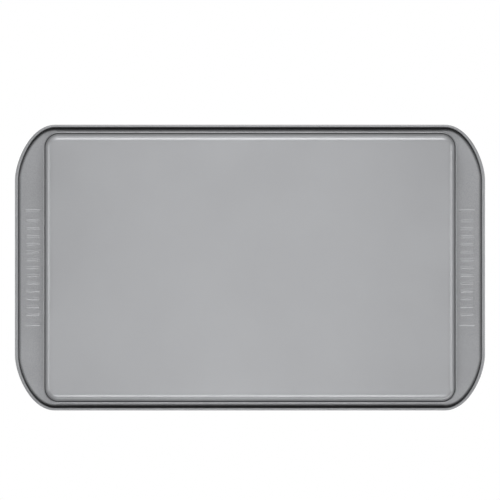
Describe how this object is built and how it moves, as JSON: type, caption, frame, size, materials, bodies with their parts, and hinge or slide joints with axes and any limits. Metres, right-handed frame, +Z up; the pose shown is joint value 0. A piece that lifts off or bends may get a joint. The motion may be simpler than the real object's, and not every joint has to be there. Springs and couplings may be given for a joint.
{
  "type": "cookie sheet",
  "caption": "Shallow rectangular steel baking tray with drafted walls, a wide flat handle at each end and a rolled, wired rim.",
  "frame": {"origin": "under the middle of the floor, on the surface that the tray stands on", "axes": "+X along the length, from handle to handle; +Y across, from side to side; +Z up, out of the open top"},
  "size_m": [0.4824, 0.2932, 0.02],
  "materials": {
    "grey_coating": "satin grey release coating on steel",
    "bare_wire": "bare drawn wire"
  },
  "bodies": {
    "root": {"tray_sheet": "grey_coating", "rim_wire": "bare_wire"}
  },
  "joints": []
}
